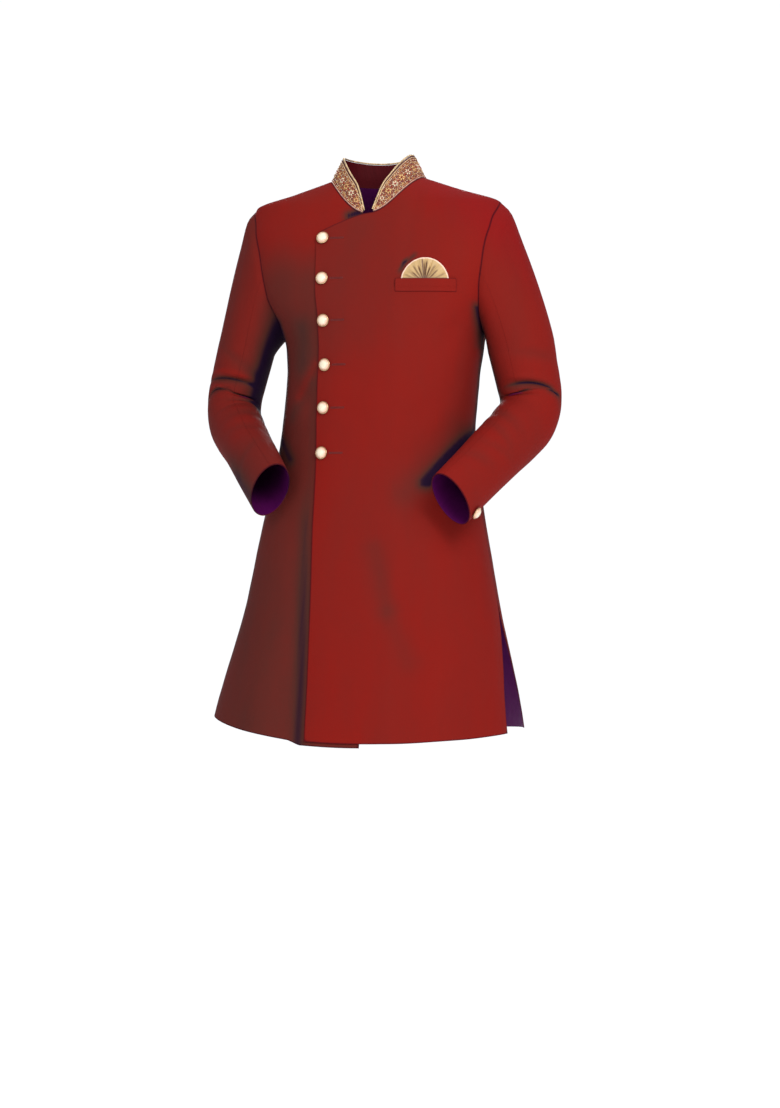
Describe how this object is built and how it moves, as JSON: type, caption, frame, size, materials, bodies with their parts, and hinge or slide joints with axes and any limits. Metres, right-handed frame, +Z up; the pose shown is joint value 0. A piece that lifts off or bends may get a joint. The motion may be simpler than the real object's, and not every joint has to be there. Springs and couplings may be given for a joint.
{
  "type": "sherwani coat",
  "caption": "Knee-length maroon sherwani coat, worn and hollow, with an asymmetric buttoned lap, an embroidered gold stand collar and side slits.",
  "frame": {"origin": "midway between the two points where the shoulder seams meet the collar, where the wearer's shoulders carry the coat", "axes": "+Z up, the coat's front faces -Y, +X is the wearer's left"},
  "size_m": [0.6501, 0.378, 1.0387],
  "materials": {
    "maroon_cloth": "matte woven silk blend, deep red shading to maroon",
    "embroidered_band": "copper and gold thread embroidery with small beads",
    "gold_cord": "satin gold cord",
    "cream_gold_cloth": "soft sheen, gathered",
    "pearl_button": "domed pearl with a gold rim"
  },
  "bodies": {
    "root": {"front_left": "maroon_cloth", "front_right": "maroon_cloth", "back": "maroon_cloth", "top_sleeve_left": "maroon_cloth", "under_sleeve_left": "maroon_cloth", "top_sleeve_right": "maroon_cloth", "under_sleeve_right": "maroon_cloth", "collar": "embroidered_band", "collar_piping": "gold_cord", "pocket_welt": "maroon_cloth", "pocket_square": "cream_gold_cloth", "front_button_1": "pearl_button", "front_button_2": "pearl_button", "front_button_3": "pearl_button", "front_button_4": "pearl_button", "front_button_5": "pearl_button", "front_button_6": "pearl_button", "cuff_button_left": "pearl_button", "cuff_button_right": "pearl_button"}
  },
  "joints": []
}
